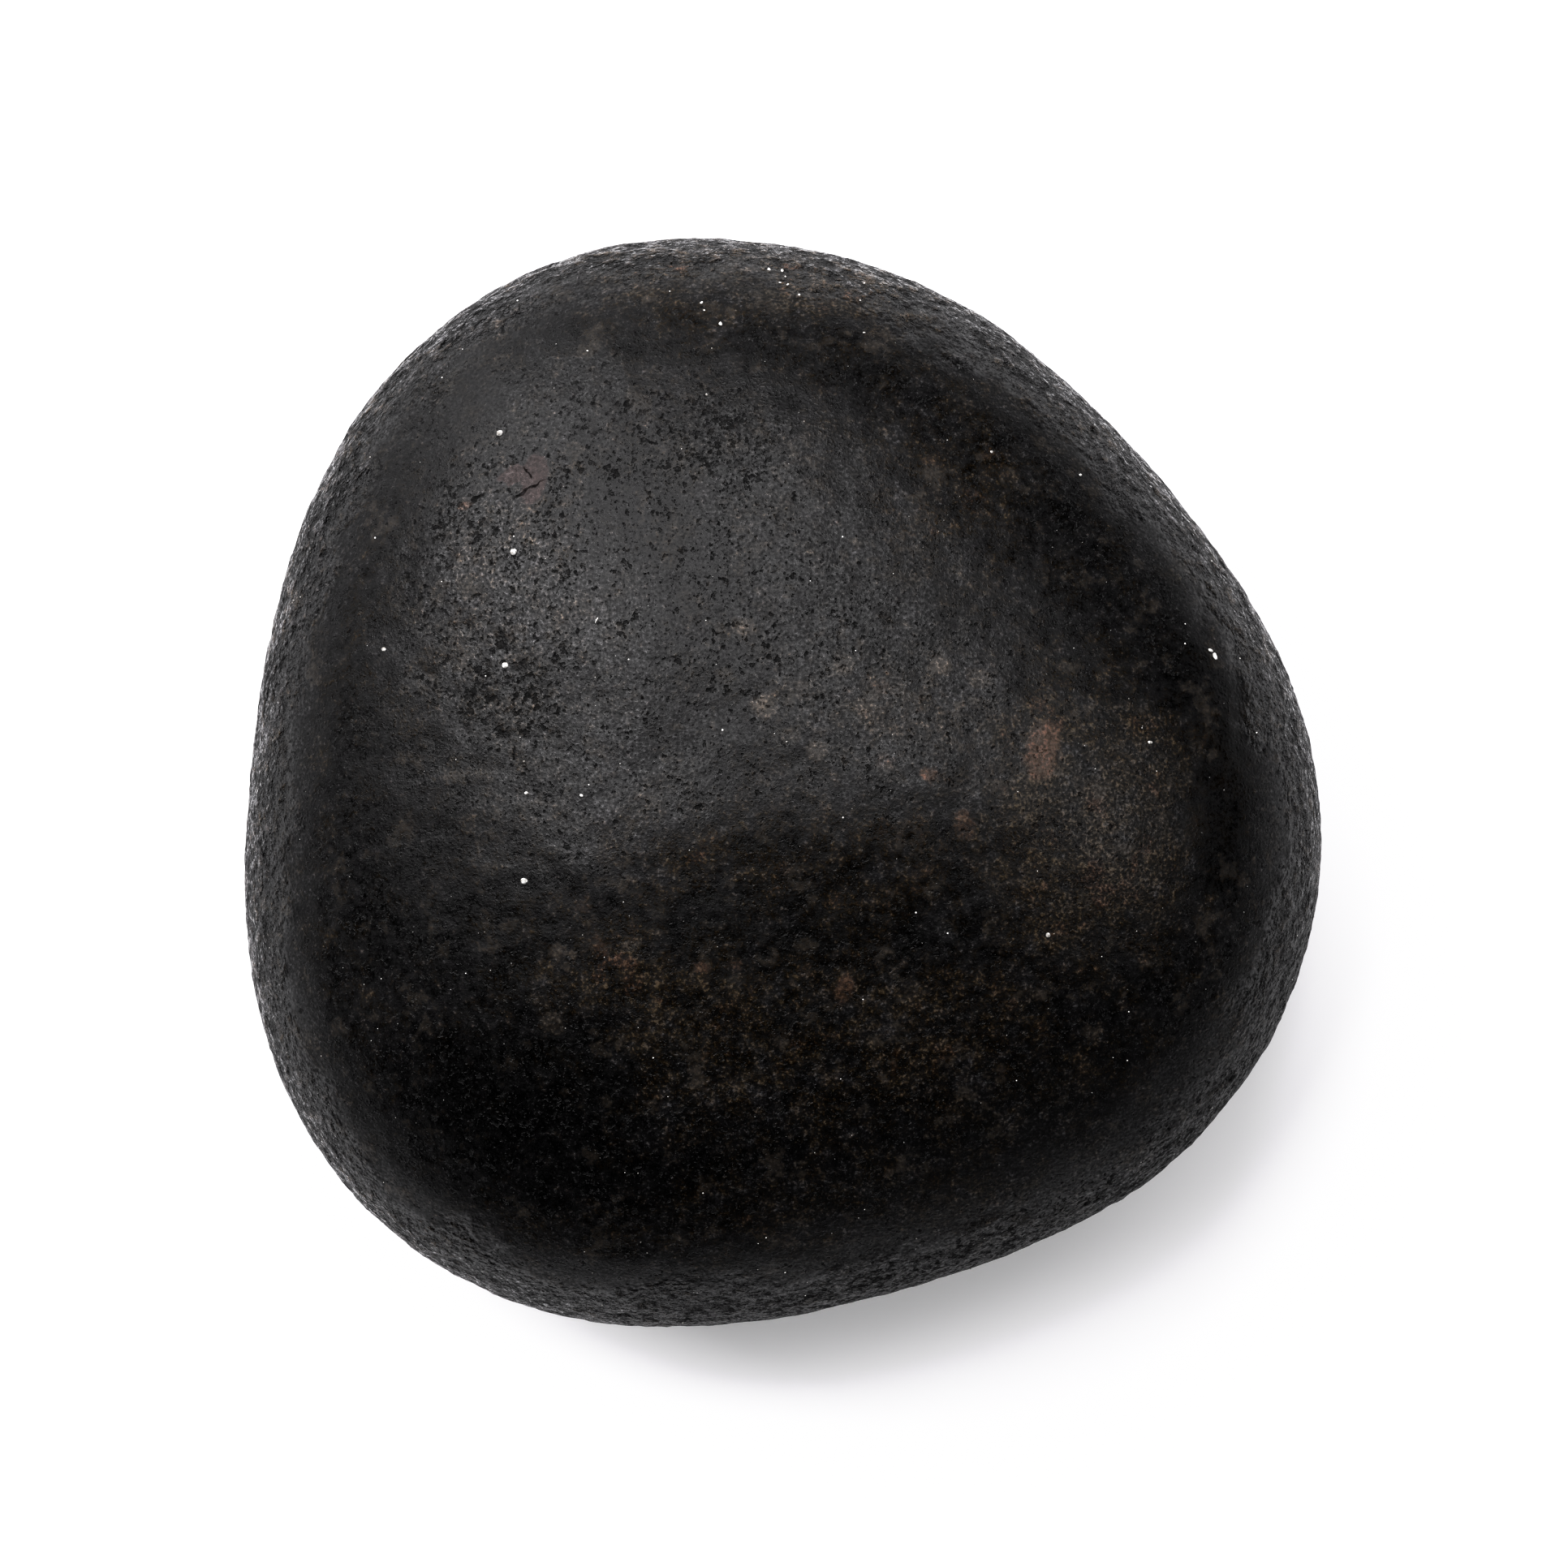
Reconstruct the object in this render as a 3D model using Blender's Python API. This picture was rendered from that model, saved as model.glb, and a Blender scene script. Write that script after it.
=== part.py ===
"""Diorite hammerstone: one hand-sized, water-worn cobble with hammered edges.

Units are metres and +Z is up. +X runs to the stone's right and +Y to its back. The origin
is on the surface that the stone lies on, under the middle of its outline.

The whole stone is a single closed surface. Every point of it is worked out from the
direction in which it lies, as seen from the middle of the stone's widest line.
"""

import math

import bmesh
import bpy
from mathutils import Vector

MM = 0.001

# Outline seen from above: a circle drawn out into three blunt corners, one of them heavier.
PLAN_RADIUS = 49.7 * MM
# (corners, rise, heading of the first corner in degrees from +X towards +Y)
OUTLINE_LOBES = (
    (1, 2.6 * MM, 210.0),
    (2, 0.5 * MM, 125.0),
    (3, 2.6 * MM, 108.0),
    (4, 0.5 * MM, 50.0),
)

# Side view: a low dome above the widest line, and below it a belly that is a little deeper
# before its lowest part is worn away.
WIDEST_LINE_HEIGHT = 26.0 * MM
CROWN_RISE = 26.0 * MM
BELLY_DEPTH = 27.8 * MM
# 2 is a plain ellipse; more gives a flatter top over steeper shoulders.
CROWN_SQUARENESS = 2.2
BELLY_SQUARENESS = 2.5
# The shoulders are squarest on the right-hand side.
SQUARENESS_SWING = 0.12
SQUAREST_HEADING = 15.0

# A blunt ridge crosses the crown from left to right, a little in front of its middle. It parts
# the upper face from the slope down to the front, and fades out towards both ends.
RIDGE_RISE = 0.9 * MM
RIDGE_SOFTNESS = 7.0 * MM
RIDGE_CREST_Y = -3.0 * MM
RIDGE_SLANT = 0.07
RIDGE_REACH = 38.0 * MM

# The belly is worn to a flat that the stone rests on, with a rounded rim.
REST_BLEND = 0.8 * MM

# Broad swells (+) and worn or hammered flats (-):
# (heading in degrees, elevation in degrees, half-width in degrees, rise)
SWELLS = (
    # Around the widest line
    (6.0, -4.0, 9.0, 0.25 * MM),
    (38.0, 5.0, 17.0, -0.4 * MM),
    (67.0, 0.0, 9.0, 0.35 * MM),
    (97.0, 4.0, 12.0, -0.45 * MM),
    (140.0, -6.0, 14.0, 0.25 * MM),
    (178.0, 2.0, 7.0, -0.4 * MM),
    (206.0, 6.0, 9.0, 0.2 * MM),
    (233.0, -8.0, 12.0, -0.2 * MM),
    (268.0, 10.0, 13.0, -0.2 * MM),
    (310.0, 0.0, 10.0, 0.3 * MM),
    (339.0, 6.0, 10.0, -0.35 * MM),
    # On the crown
    (130.0, 48.0, 20.0, 0.6 * MM),
    (35.0, 52.0, 18.0, -0.5 * MM),
    (300.0, 45.0, 22.0, -0.7 * MM),
    (215.0, 40.0, 18.0, 0.5 * MM),
    # On the belly
    (75.0, -38.0, 22.0, -0.6 * MM),
    (190.0, -42.0, 20.0, 0.5 * MM),
    (315.0, -40.0, 20.0, -0.5 * MM),
)

# Faces along each edge of the cube that is blown up into the stone.
CUBE_DIVISIONS = 24

# Near-black diorite with a brown-grey cast, dull from handling and weather.
STONE_COLOR = (0.016, 0.0145, 0.013, 1.0)
STONE_ROUGHNESS = 0.48


def clear_scene():
    """Remove every object that is already in the scene."""
    for obj in list(bpy.data.objects):
        bpy.data.objects.remove(obj, do_unlink=True)


def stone_material():
    """Dark diorite."""
    material = bpy.data.materials.new("diorite")
    material.use_nodes = True
    shader = material.node_tree.nodes["Principled BSDF"]
    shader.inputs["Base Color"].default_value = STONE_COLOR
    shader.inputs["Roughness"].default_value = STONE_ROUGHNESS
    shader.inputs["Metallic"].default_value = 0.0
    return material


def plan_radius(heading):
    """Reach of the outline from the middle, for a heading in radians."""
    reach = PLAN_RADIUS
    for corners, rise, first_corner in OUTLINE_LOBES:
        reach += rise * math.cos(corners * (heading - math.radians(first_corner)))
    return reach


def unit_direction(heading_degrees, elevation_degrees):
    """Unit vector for a heading and an elevation."""
    heading = math.radians(heading_degrees)
    elevation = math.radians(elevation_degrees)
    level = math.cos(elevation)
    return Vector((level * math.cos(heading), level * math.sin(heading), math.sin(elevation)))


def swell_at(direction):
    """Sum of the swells and flats felt in one direction, each a round bell shape."""
    total = 0.0
    for heading, elevation, half_width, rise in SWELLS:
        apart = direction.angle(unit_direction(heading, elevation))
        total += rise * math.exp(-(apart / math.radians(half_width)) ** 2)
    return total


def ridge_at(point):
    """Rise of the blunt ridge over a point of the crown."""
    from_crest = point.y - RIDGE_CREST_Y - RIDGE_SLANT * point.x
    rise = RIDGE_RISE / math.cosh(from_crest / RIDGE_SOFTNESS)
    return rise * math.exp(-(point.x / RIDGE_REACH) ** 2)


def smooth_floor(height):
    """Height kept at or above zero, with a rounded rim where the worn flat begins."""
    overlap = max(REST_BLEND - abs(height), 0.0) / REST_BLEND
    return max(height, 0.0) + overlap * overlap * REST_BLEND / 4


def stone_point(direction):
    """Point of the stone's surface in a unit direction from the middle of its widest line."""
    heading = math.atan2(direction.y, direction.x)
    level = math.hypot(direction.x, direction.y)
    swing = SQUARENESS_SWING * math.cos(heading - math.radians(SQUAREST_HEADING)) * level
    if direction.z > 0:
        half_height = CROWN_RISE
        power = CROWN_SQUARENESS + swing
    else:
        half_height = BELLY_DEPTH
        power = BELLY_SQUARENESS + swing
    across = (level / plan_radius(heading)) ** power
    upward = (abs(direction.z) / half_height) ** power
    reach = (across + upward) ** (-1 / power) + swell_at(direction)
    point = direction * reach
    if direction.z > 0:
        point.z += ridge_at(point) * direction.z
    point.z = smooth_floor(WIDEST_LINE_HEIGHT + point.z)
    return point


def even_angle(value):
    """Move a cube-face coordinate so that the blown-up faces come out even in size."""
    return math.tan(value * math.pi / 4)


def build_stone():
    """Blow a finely divided cube up into the stone and centre it over the origin."""
    bm = bmesh.new()
    bmesh.ops.create_cube(bm, size=2.0)
    bmesh.ops.subdivide_edges(
        bm, edges=bm.edges[:], cuts=CUBE_DIVISIONS - 1, use_grid_fill=True)
    for vert in bm.verts:
        direction = Vector([even_angle(value) for value in vert.co]).normalized()
        vert.co = stone_point(direction)
    for axis in (0, 1):
        values = [vert.co[axis] for vert in bm.verts]
        middle = (min(values) + max(values)) / 2
        for vert in bm.verts:
            vert.co[axis] -= middle

    mesh = bpy.data.meshes.new("hammerstone")
    bm.to_mesh(mesh)
    bm.free()
    mesh.shade_smooth()
    mesh.materials.append(stone_material())
    stone = bpy.data.objects.new("hammerstone", mesh)
    bpy.context.scene.collection.objects.link(stone)
    return stone


clear_scene()
build_stone()
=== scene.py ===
"""Dresses the diorite hammerstone: its pitted, weathered surface, the pale grains that sit in
it, and the stage that it lies on.

Units are metres and +Z is up. Each finished piece sits at the origin with its place in its
mesh, and rides on the frame's only body, "root".
"""

import math
from types import SimpleNamespace

import bmesh
import bpy
from bpy.props import FloatProperty, FloatVectorProperty, IntProperty, PointerProperty
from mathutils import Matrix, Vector


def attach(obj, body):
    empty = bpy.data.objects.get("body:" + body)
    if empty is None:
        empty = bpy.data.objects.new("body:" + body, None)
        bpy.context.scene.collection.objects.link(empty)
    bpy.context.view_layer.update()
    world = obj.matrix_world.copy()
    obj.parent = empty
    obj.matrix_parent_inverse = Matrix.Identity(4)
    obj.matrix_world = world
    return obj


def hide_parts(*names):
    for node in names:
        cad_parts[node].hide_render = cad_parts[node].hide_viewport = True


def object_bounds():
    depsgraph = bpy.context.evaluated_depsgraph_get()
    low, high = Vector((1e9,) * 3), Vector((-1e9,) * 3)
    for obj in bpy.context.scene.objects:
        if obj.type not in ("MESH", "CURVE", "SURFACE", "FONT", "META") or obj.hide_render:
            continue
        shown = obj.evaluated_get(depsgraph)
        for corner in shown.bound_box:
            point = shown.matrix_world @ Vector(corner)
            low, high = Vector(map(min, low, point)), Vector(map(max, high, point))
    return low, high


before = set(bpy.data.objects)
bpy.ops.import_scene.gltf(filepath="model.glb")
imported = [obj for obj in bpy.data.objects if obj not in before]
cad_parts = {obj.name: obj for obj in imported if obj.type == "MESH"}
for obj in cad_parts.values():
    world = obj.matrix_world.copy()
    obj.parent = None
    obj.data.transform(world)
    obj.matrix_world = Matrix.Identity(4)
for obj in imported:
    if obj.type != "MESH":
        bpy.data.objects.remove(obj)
CAD_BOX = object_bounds()

bl_info = {
    "name": "Diorite Hammerstone",
    "version": (1, 0, 0),
    "blender": (4, 5, 0),
    "location": "3D View > Sidebar > Hammerstone",
    "description": "Builds the surface of a diorite hammerstone, its pale grains and its stage",
    "category": "Object",
}

MM = 0.001
STONE_NODE = "hammerstone"

# Half the height of the frame's box is close to the widest line. The surface is drawn round
# this point, and the softboxes face it.
STONE_MIDDLE = (CAD_BOX[0] + CAD_BOX[1]) / 2

# Height from which marks are dropped onto the crown.
ABOVE_CROWN = CAD_BOX[1].z + 10 * MM
# Radius of the ball of faces that is shrunk onto the stone.
BALL_RADIUS = 100 * MM

# Broad weathered zones, each an ellipse on the crown:
# (x, y, half-width, half-length, turn in degrees, strength), lengths in millimetres
BROWN_ZONES = (
    (27.0, -3.0, 12.0, 15.0, 0.0, 1.0),     # right of the middle
    (4.0, -23.0, 28.0, 9.0, 4.0, 0.7),      # across the front slope
    (-13.0, -18.5, 12.0, 6.0, -8.0, 0.9),   # left end of the front slope
    (-3.0, 44.5, 18.0, 5.0, -4.0, 0.8),     # along the back rim
    (10.0, 7.0, 13.0, 5.0, 0.0, 0.45),      # middle of the crown
    # This zone and the next are paler brown, and also painted light that softens the shading below
    # the crown.
    (2.0, -6.0, 24.0, 7.0, 0.0, 0.45),      # below the middle
    (-8.0, -6.5, 12.0, 4.0, 0.0, 0.7),      # its left half is browner
    (4.0, -38.0, 22.0, 4.0, 6.0, 0.5),      # along the front rim
    (-25.0, 14.0, 9.0, 15.0, 0.0, 0.4),     # upper left
    (15.5, 27.0, 7.0, 12.0, 30.0, 0.5),     # upper right
)

# Painted shade on the front left slope and the left edge, laid out in the same way.
PAINTED_SHADE_ZONES = (
    (-24.0, -28.0, 15.0, 9.0, 15.0, 0.6),
    (-33.0, -10.0, 7.0, 9.0, 0.0, 0.3),
)

# Rusty stains: (x, y, half-width, half-length, turn in degrees, strength).
RUST_STAINS = (
    (22.9, 2.9, 1.6, 2.9, -12.0, 1.0),
    (12.2, -7.6, 1.2, 1.0, 30.0, 0.4),
    (16.0, -3.6, 1.0, 1.5, 15.0, 0.8),
    (9.0, 2.0, 1.1, 0.9, 0.0, 0.5),
    (5.4, -18.1, 1.0, 1.5, -10.0, 0.8),
    (-17.5, -10.7, 1.0, 0.7, 0.0, 0.5),
    (-4.2, -16.0, 1.0, 0.7, 0.0, 0.5),
)

# Small patches of pale tan feldspar, laid out in the same way.
TAN_PATCHES = (
    (-1.6, 6.7, 1.2, 1.1, 0.0, 1.0),
    (7.2, 6.5, 1.1, 0.9, 15.0, 0.65),
    (-3.4, 13.7, 1.0, 0.9, 0.0, 0.95),
    (17.3, 9.2, 1.3, 0.9, -20.0, 0.6),
    (14.0, 10.3, 1.0, 1.0, 0.0, 0.75),
    (-5.0, 9.4, 1.0, 0.8, 0.0, 0.6),
    (5.4, 10.3, 1.1, 0.9, 0.0, 0.7),
    (3.1, 2.9, 1.0, 0.9, 0.0, 0.75),
    (0.8, 4.3, 1.0, 0.8, 0.0, 0.5),
    (-20.3, -21.1, 1.4, 0.9, -40.0, 0.6),
    (-21.3, -19.3, 1.1, 0.6, -25.0, 0.5),
    (-13.1, -14.2, 1.2, 0.7, 20.0, 0.35),
    (-11.7, -29.0, 1.1, 0.7, 0.0, 0.35),
    (6.0, 6.5, 10.0, 3.0, -5.0, 0.1),       # a faint veil across the middle
    # On the upper left of the crown
    (-33.0, 25.0, 1.0, 2.2, 10.0, 0.12),
    (-38.0, 25.6, 0.9, 1.8, -30.0, 0.12),
    (-40.5, 17.3, 0.8, 1.4, 10.0, 0.15),
    (-23.0, 34.5, 2.6, 1.2, -10.0, 0.12),
    (-19.7, 29.3, 1.2, 1.4, 20.0, 0.12),
)

# The two lobes of the one smooth, pinkish feldspar crystal, and the small orange spots.
PINK_CRYSTAL = (
    (-22.0, 27.0, 1.35, 2.5, -8.0, 1.0),
    (-23.9, 27.3, 1.5, 0.9, 15.0, 1.0),
)
ORANGE_SPOTS = (
    (-28.2, 24.6, 0.9, 0.55, 30.0, 1.0),
    (12.9, 0.7, 0.95, 0.85, 0.0, 1.0),
    (-7.0, -16.2, 1.0, 0.7, 0.0, 0.8),
)

# The cracks across the crystal and the slit beside the first orange spot:
# (start, end, width in millimetres)
CRACKS = (
    ((-23.8, 25.1), (-21.0, 26.9), 0.32),
    ((-27.8, 24.9), (-26.5, 25.7), 0.3),
    ((-22.9, 27.9), (-22.2, 27.1), 0.2),
)

# Bands that handling has worn smooth: (x, y, half-width, half-length, turn, strength)
WORN_BANDS = (
    (38.5, 2.0, 3.2, 13.0, 4.0, 1.0),
    (-27.0, 34.0, 3.5, 2.5, -30.0, 0.8),
)

# Where pits crowd together: (x, y, half-width, half-length, turn in degrees, strength)
PIT_CROWDS = (
    (-24.0, 8.5, 6.5, 9.0, 0.0, 1.0),
    (-8.0, 30.5, 7.5, 6.0, 0.0, 1.0),
    (-23.0, 23.0, 8.0, 9.0, 0.0, 0.75),
    (-30.0, 2.0, 6.0, 9.0, 0.0, 0.5),
    (-15.0, 29.5, 5.0, 5.0, 0.0, 0.7),
    (-32.0, 35.0, 5.0, 3.5, 30.0, 1.0),
    (-29.0, 18.0, 10.0, 16.0, 0.0, 0.7),
)

# How ragged the edges of such patches are: (size of the raggedness, how far it pushes).
ZONE_RAGGEDNESS = (5.0 * MM, 9.0 * MM)
STAIN_RAGGEDNESS = (1.2 * MM, 0.6 * MM)
CRYSTAL_RAGGEDNESS = (0.9 * MM, 1.0 * MM)
WHITE_GRAIN_RAGGEDNESS = (0.4 * MM, 0.2 * MM)

# How solid a patch is: (end of its solid core, outer edge), as shares of its half-widths.
SOFT_PATCH = (0.4, 1.3)
TAN_PATCH = (0.7, 1.3)
RUST_PATCH = (0.6, 1.3)
SPOT_PATCH = (0.5, 1.15)
CRYSTAL_PATCH = (0.8, 1.05)
CRACK_EDGE = (0.6, 1.1)
CRACK_DEPTH = 2.0 * MM

# Sizes of the clouds that vary the stone.
CROWDING_CLOUD = 12.0 * MM
BATTERED_CLOUD = 8.0 * MM
BLOTCH_CLOUD = 3.2 * MM
MOTTLE_CLOUD = 0.9 * MM
PIT_CLOUD = 0.65 * MM
SPECKLE_CLOUD = 0.3 * MM

# The sides are battered where they are steep: (fully, not at all), as the upright part of the
# surface's direction, with a cloud that shifts the border by this much.
BATTERED_UPRIGHT = (0.42, 0.72)
BATTERED_SHIFT = 0.5

# Stray pits crowd a little wherever the broad cloud rises from the first value to the second.
STRAY_CROWDS = (0.45, 0.75)
STRAY_CROWDING = 0.35

# Larger pits lie where a cloud is below a limit: (where pits are sparse, where they crowd).
LARGE_PIT_LIMIT = (0.30, 0.40)
LARGE_PIT_EDGE = 0.08
# On the battered sides that limit is higher by this much, and the pits are deeper.
BATTERED_PIT_LIMIT = 0.08
BATTERED_PIT_DEPTH = 1.3
# Height of the coarse grain on the crown beside that on the sides.
CROWN_GRAIN = 0.2

# The front right side lies away from the softboxes. There the battered sides' crushed grain
# and painted sheen are cut back as painted shade, their relief is lower and the stone is duller.
# How far each change reaches is measured towards it: (where it begins, where it is full).
SHADED_SIDE = (0.5, -0.866, 0.0)
LESS_STRUCK_IN_SHADE = (28.0 * MM, 46.0 * MM)
MORE_DULL = (30.0 * MM, 46.0 * MM)
LEAST_STRUCK_IN_SHADE = 0.15
SHADED_SIDE_DULLNESS = 0.14

# How weathered the stone is outside the brown zones.
LEAST_WEATHERED = 0.3

# Kinds of grain show as a cloud rises: (from nothing, to fully).
PALE_FLAKES = (0.58, 0.7)
# Glints are painted highlights, drawn as grains.
PAINTED_GLINTS = (0.74, 0.78)
TAN_SPOTS = (0.545, 0.63)
RUST_SPOTS = (0.52, 0.7)

# Shares of the broad cloud, of the fine one and of a known patch in a clump of tan grains.
TAN_CLUMP = (0.7, 0.3, 0.07)

# How much lighter each kind is, as a power of e. A pair is for fresh and for weathered stone.
FLAKE_LIFT = 1.6
# Lightness of the painted glints.
PAINTED_GLINT_LIFT = 1.5
RUST_SPOT_LIFT = 0.2
CRYSTAL_LIFT = 1.0
TAN_PATCH_LIFT = 2.25
TAN_SPOT_LIFT = (1.35, 0.6)
RUST_STAIN_LIFT = (2.0, 1.4)
# Pale crushed grain on the battered sides, with painted sheen of the floor's reflection.
CRUSHED_AND_SHEEN_LIFT = 0.9
# Contrast of the pale crushed grain and painted sheen on the battered sides, in mottles and in
# blotches.
CRUSHED_AND_SHEEN_MOTTLES = 18.0
CRUSHED_AND_SHEEN_BLOTCHES = 14.0
# Above 1, the crushed grain and painted sheen keep away from the border of the battered sides.
CRUSHED_AND_SHEEN_ONSET = 1.8
# Most that a grain's lightness may be multiplied by.
BRIGHTEST_GRAIN = 25.0

# What makes a grain brown: the fine and the broad cloud of warmth, and weathering.
FINE_WARMTH = 2.0
BROAD_WARMTH = 3.0
WEATHERED_WARMTH = 0.9
# Pale flakes are less brown.
FLAKE_WARMTH = -0.25
# How broken the stains are, from where a stain begins to show to where it covers.
STAIN_BREAKS = 1.5
STAIN_COVER = (0.1, 1.0)
# Strength at which a tan patch has its full colour, and how much of it a tan spot has.
FULL_TAN = 0.6
TAN_SPOT_COVER = 0.8

# Stains and the crystal are more even than the grain around them, by these shares.
STAIN_EVENNESS = 0.6
CRYSTAL_EVENNESS = 0.9

# Fine pits: (limit below which a cloud is a pit, width of the pit's edge).
SMALL_PITS = (0.375, 0.1)
GRIT_PITS = (0.375, 0.14)
WIDE_PITS = (0.335, 0.05)
# How much of a pit each kind makes, beside a wide pit.
SMALL_PIT_STRENGTH = 0.85
GRIT_PIT_STRENGTH = 0.6
# Wide pits follow the mottles and the cloud of pits in these shares, and crowd more.
WIDE_PIT_SHARES = (0.65, 0.35)
WIDE_PIT_CROWDING = 1.4
# Rises of the limits where pits crowd and on the battered sides, and falls on smooth places.
CROWDED_PITS = 0.06
BATTERED_PITS = 0.09
SMOOTH_PITS = 0.2
UNEVEN_PITS = 0.22
# How dark the painted shade in the pits is, how much duller, and how deep on the crown and on the
# battered sides.
PIT_SHADE = 0.85
PIT_DULLNESS = 0.45
PIT_RELIEF = (0.9, 3.0)
# How much coarser the blotches of the battered sides are than their mottles.
BLOTCH_RELIEF = 1.6
# How much the mottles, the blotches and the grains vary the roughness.
DULL_MOTTLES = 0.25
DULL_BLOTCHES = 0.2
DULL_GRAINS = -1.0
# How much glossier the battered sides are, where each facet of a grain catches the light.
STRUCK_GLOSS = 0.26

# The larger white grains: (x, y, length, width, turn in degrees), lengths in millimetres
WHITE_GRAINS = (
    (-25.1, 31.1, 0.6, 0.55, 0.0),
    (-23.7, 20.4, 0.65, 0.6, 0.0),
    (-24.4, 10.4, 0.6, 0.5, 20.0),
    (-22.7, -8.6, 0.65, 0.55, 0.0),
    (23.4, -13.4, 0.42, 0.4, 0.0),
    (-35.4, 11.9, 0.42, 0.4, 0.0),
    (32.5, 3.6, 0.45, 0.35, -10.0),
    (-22.5, -0.9, 0.35, 0.3, 0.0),
    (-16.3, 14.3, 0.6, 0.12, 55.0),
    # A sprinkling below the back rim
    (-7.2, 42.9, 0.35, 0.25, 60.0),
    (-7.0, 42.2, 0.2, 0.2, 0.0),
    (-5.5, 40.9, 0.35, 0.3, 80.0),
    (-1.2, 46.2, 0.3, 0.3, 0.0),
    (0.0, 46.1, 0.3, 0.3, 0.0),
    (0.3, 45.5, 0.2, 0.2, 0.0),
    (-0.2, 44.9, 0.25, 0.2, 0.0),
    (0.5, 44.7, 0.3, 0.25, 40.0),
    (1.5, 43.7, 0.25, 0.2, 0.0),
    (7.0, 43.3, 0.2, 0.2, 0.0),
    (7.3, 40.2, 0.3, 0.2, 20.0),
    (-17.3, 38.5, 0.25, 0.22, 0.0),
    (-6.7, 34.4, 0.22, 0.2, 0.0),
    (26.6, 27.5, 0.28, 0.25, 0.0),
    (18.6, 29.4, 0.28, 0.25, 0.0),
    (-17.6, -1.1, 0.3, 0.3, 0.0),
    (38.6, 11.3, 0.65, 0.42, -62.0),     # the one large chip
    (38.2, 11.85, 0.5, 0.25, -25.0),
)

# Softboxes: (name, heading and elevation in degrees, distance, width, height, radiance)
SOFTBOXES = (
    ("softbox_left", 150.0, 51.0, 1.2, 0.47, 1.2, 4.75),
    ("softbox_low_left", 132.0, 12.0, 1.2, 0.44, 0.44, 1.7),
    ("softbox_back_left", 120.0, 30.0, 1.2, 0.44, 0.44, 3.6),
    ("softbox_back", 90.0, 50.0, 1.2, 0.44, 0.44, 4.0),
    ("softbox_top", 60.0, 70.0, 1.2, 0.44, 0.44, 4.0),
    ("softbox_right", 0.0, 50.0, 1.2, 0.44, 0.44, 2.1),
    ("softbox_front", 295.0, 25.0, 1.2, 0.8, 0.5, 0.15),
)
LAMP_COLOR = (1.0, 0.985, 1.0)

# How light levels are shown: blacks are kept deep and the pale floor is lifted to white.
TONE_CURVE = (
    (0.004, 0.0007), (0.010, 0.0044), (0.018, 0.011), (0.035, 0.027), (0.06, 0.055),
    (0.1, 0.1), (0.21, 0.38), (0.33, 0.70), (0.45, 0.985),
)


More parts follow.
